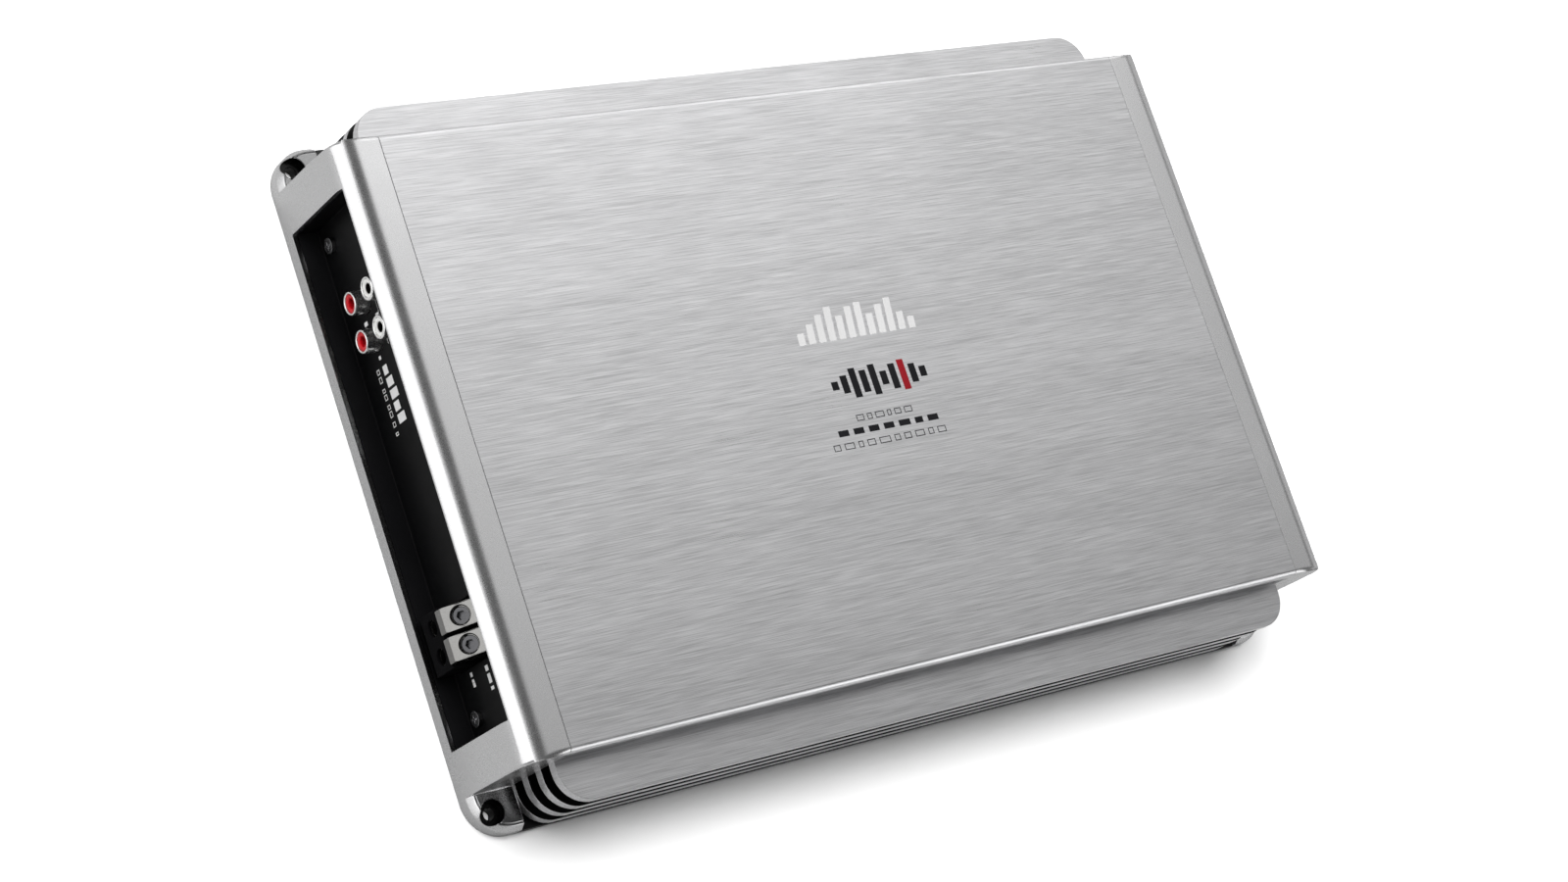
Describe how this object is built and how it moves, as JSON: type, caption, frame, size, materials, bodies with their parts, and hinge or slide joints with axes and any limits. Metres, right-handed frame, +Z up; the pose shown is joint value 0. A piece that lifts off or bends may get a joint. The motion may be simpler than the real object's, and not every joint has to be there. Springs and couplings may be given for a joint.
{
  "type": "car amplifier",
  "caption": "Low silver car amplifier: brushed finned extrusion between cast end caps, with phono inputs and screw terminals in recessed black panels.",
  "frame": {"origin": "centre of the footprint, on the mounting plane", "axes": "+X along the long side towards the power end, +Y across the case, +Z up"},
  "size_m": [0.3682, 0.25, 0.0514],
  "materials": {
    "brushed_case": "brushed along the length, silver anodised",
    "satin_cap": "fine satin silver on a casting",
    "fastener_steel": "zinc-plated, worn recesses",
    "black_fastener": "black oxide",
    "black_moulding": "fine moulded grain",
    "cover_black": "black powder coat",
    "board_green": "solder mask over copper tracks",
    "brass_parts": "turned brass, slightly dull",
    "nickel": "nickel plated, bright",
    "insulator_white": "moulded white",
    "insulator_red": "moulded red",
    "screw_dark": "black oxide with bright socket edges",
    "fuse_amber": "translucent amber",
    "tin_plate": "tin-plated sheet",
    "pot_blue": "moulded blue",
    "knob_black": "fine moulded grain",
    "led_lens": "clear green",
    "copper_wire": "enamelled copper turns",
    "capacitor_sleeve": "heat-shrunk sleeve",
    "chip_black": "moulded epoxy",
    "pad_blue": "soft thermal sheet"
  },
  "bodies": {
    "body": {"heatsink": "brushed_case", "end_cap_signal": "satin_cap", "end_cap_power": "satin_cap", "cap_screws": "fastener_steel", "cover_screws": "fastener_steel", "board_screws": "fastener_steel", "clamp_screws": "fastener_steel", "clamp_bars": "fastener_steel", "signal_tray_screws": "black_fastener", "power_tray_screws": "black_fastener", "signal_tray": "black_moulding", "power_tray": "black_moulding", "rca_housing": "black_moulding", "speaker_terminal_housing": "black_moulding", "power_terminal_housing": "black_moulding", "fuse_holder": "black_moulding", "remote_jack": "black_moulding", "transformer_bases": "black_moulding", "phase_switch": "black_moulding", "bottom_cover": "cover_black", "main_board": "board_green", "control_board": "board_green", "board_standoffs": "brass_parts", "rca_contacts": "brass_parts", "fuse_clips": "brass_parts", "rca_shells": "nickel", "speaker_terminal_poles": "nickel", "power_terminal_poles": "nickel", "rca_cores_white": "insulator_white", "rca_cores_red": "insulator_red", "potentiometers": "pot_blue", "status_leds": "led_lens", "transformer_windings": "copper_wire", "output_inductors": "copper_wire", "rail_capacitors": "capacitor_sleeve", "input_capacitors": "capacitor_sleeve", "signal_capacitors": "capacitor_sleeve", "transistors_near": "chip_black", "transistors_far": "chip_black", "control_chips": "chip_black", "insulating_pads": "pad_blue"},
    "gain_knob": {"gain_knob": "knob_black"},
    "crossover_knob": {"crossover_knob": "knob_black"},
    "subsonic_knob": {"subsonic_knob": "knob_black"},
    "bass_knob": {"bass_knob": "knob_black"},
    "fuse_1": {"fuse_body_1": "fuse_amber", "fuse_blades_1": "tin_plate"},
    "fuse_2": {"fuse_body_2": "fuse_amber", "fuse_blades_2": "tin_plate"},
    "fuse_3": {"fuse_body_3": "fuse_amber", "fuse_blades_3": "tin_plate"},
    "phase_slider": {"phase_slider": "insulator_white"},
    "speaker_set_screw_1": {"speaker_set_screw_1": "screw_dark"},
    "speaker_set_screw_2": {"speaker_set_screw_2": "screw_dark"},
    "power_set_screw_1": {"power_set_screw_1": "screw_dark"},
    "power_set_screw_2": {"power_set_screw_2": "screw_dark"},
    "power_set_screw_3": {"power_set_screw_3": "screw_dark"}
  },
  "joints": [
    {"name": "gain_turn", "type": "hinge", "parent": "body", "child": "gain_knob", "pos_m": [0.1741, -0.016, 0.027], "axis": [1, 0, 0], "range_deg": [-150, 150]},
    {"name": "crossover_turn", "type": "hinge", "parent": "body", "child": "crossover_knob", "pos_m": [0.1741, -0.031, 0.027], "axis": [1, 0, 0], "range_deg": [-150, 150]},
    {"name": "subsonic_turn", "type": "hinge", "parent": "body", "child": "subsonic_knob", "pos_m": [0.1741, -0.046, 0.027], "axis": [1, 0, 0], "range_deg": [-150, 150]},
    {"name": "bass_turn", "type": "hinge", "parent": "body", "child": "bass_knob", "pos_m": [0.1741, -0.061, 0.027], "axis": [1, 0, 0], "range_deg": [-150, 150]},
    {"name": "fuse_pull_1", "type": "slide", "parent": "body", "child": "fuse_1", "axis": [1, 0, 0], "range_m": [0, 0.02]},
    {"name": "fuse_pull_2", "type": "slide", "parent": "body", "child": "fuse_2", "axis": [1, 0, 0], "range_m": [0, 0.02]},
    {"name": "fuse_pull_3", "type": "slide", "parent": "body", "child": "fuse_3", "axis": [1, 0, 0], "range_m": [0, 0.02]},
    {"name": "phase_slide", "type": "slide", "parent": "body", "child": "phase_slider", "axis": [0, 1, 0], "range_m": [0, 0.004]},
    {"name": "speaker_screw_turn_1", "type": "hinge", "parent": "body", "child": "speaker_set_screw_1", "pos_m": [-0.17901, -0.0535, 0.02978], "axis": [-0.6691, 0, 0.7431], "continuous": true},
    {"name": "speaker_screw_turn_2", "type": "hinge", "parent": "body", "child": "speaker_set_screw_2", "pos_m": [-0.17901, -0.0636, 0.02978], "axis": [-0.6691, 0, 0.7431], "continuous": true},
    {"name": "power_screw_turn_1", "type": "hinge", "parent": "body", "child": "power_set_screw_1", "pos_m": [0.17901, 0.0405, 0.02978], "axis": [0.6691, 0, 0.7431], "continuous": true},
    {"name": "power_screw_turn_2", "type": "hinge", "parent": "body", "child": "power_set_screw_2", "pos_m": [0.17901, 0.054, 0.02978], "axis": [0.6691, 0, 0.7431], "continuous": true},
    {"name": "power_screw_turn_3", "type": "hinge", "parent": "body", "child": "power_set_screw_3", "pos_m": [0.17901, 0.0675, 0.02978], "axis": [0.6691, 0, 0.7431], "continuous": true}
  ]
}
